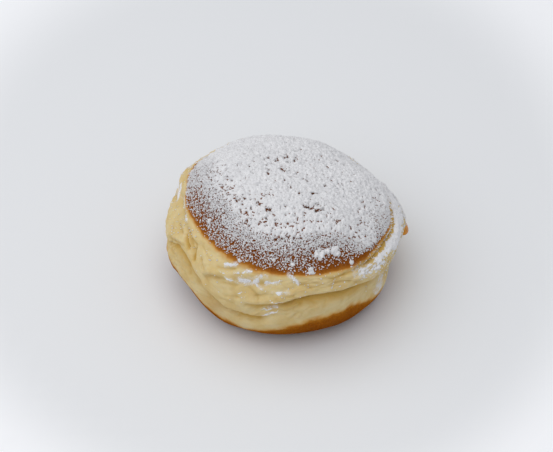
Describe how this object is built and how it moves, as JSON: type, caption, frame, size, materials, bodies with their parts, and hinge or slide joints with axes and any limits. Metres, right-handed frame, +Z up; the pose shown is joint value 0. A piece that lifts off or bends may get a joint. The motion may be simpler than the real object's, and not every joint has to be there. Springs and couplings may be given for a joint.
{
  "type": "jelly filled doughnut",
  "caption": "Whole fried bun of yeast dough with browned crusts, a pale creased collar and powdered sugar on top; a bead of jelly shows at the filling hole in its side.",
  "frame": {"origin": "middle of the flat spot that the doughnut rests on", "axes": "+Z up; -Y is the side that faces the camera in the picture; +X points to the side with the filling hole, which lies 3 degrees off it towards +Y"},
  "size_m": [0.0917, 0.0906, 0.0465],
  "materials": {
    "dough": "soft fried dough: red-brown satin crust on top and bottom, matt pale yellow collar, fine white powdered sugar above",
    "jelly": "clear glossy amber jelly"
  },
  "bodies": {
    "root": {"doughnut": "dough", "jelly": "jelly"}
  },
  "joints": []
}
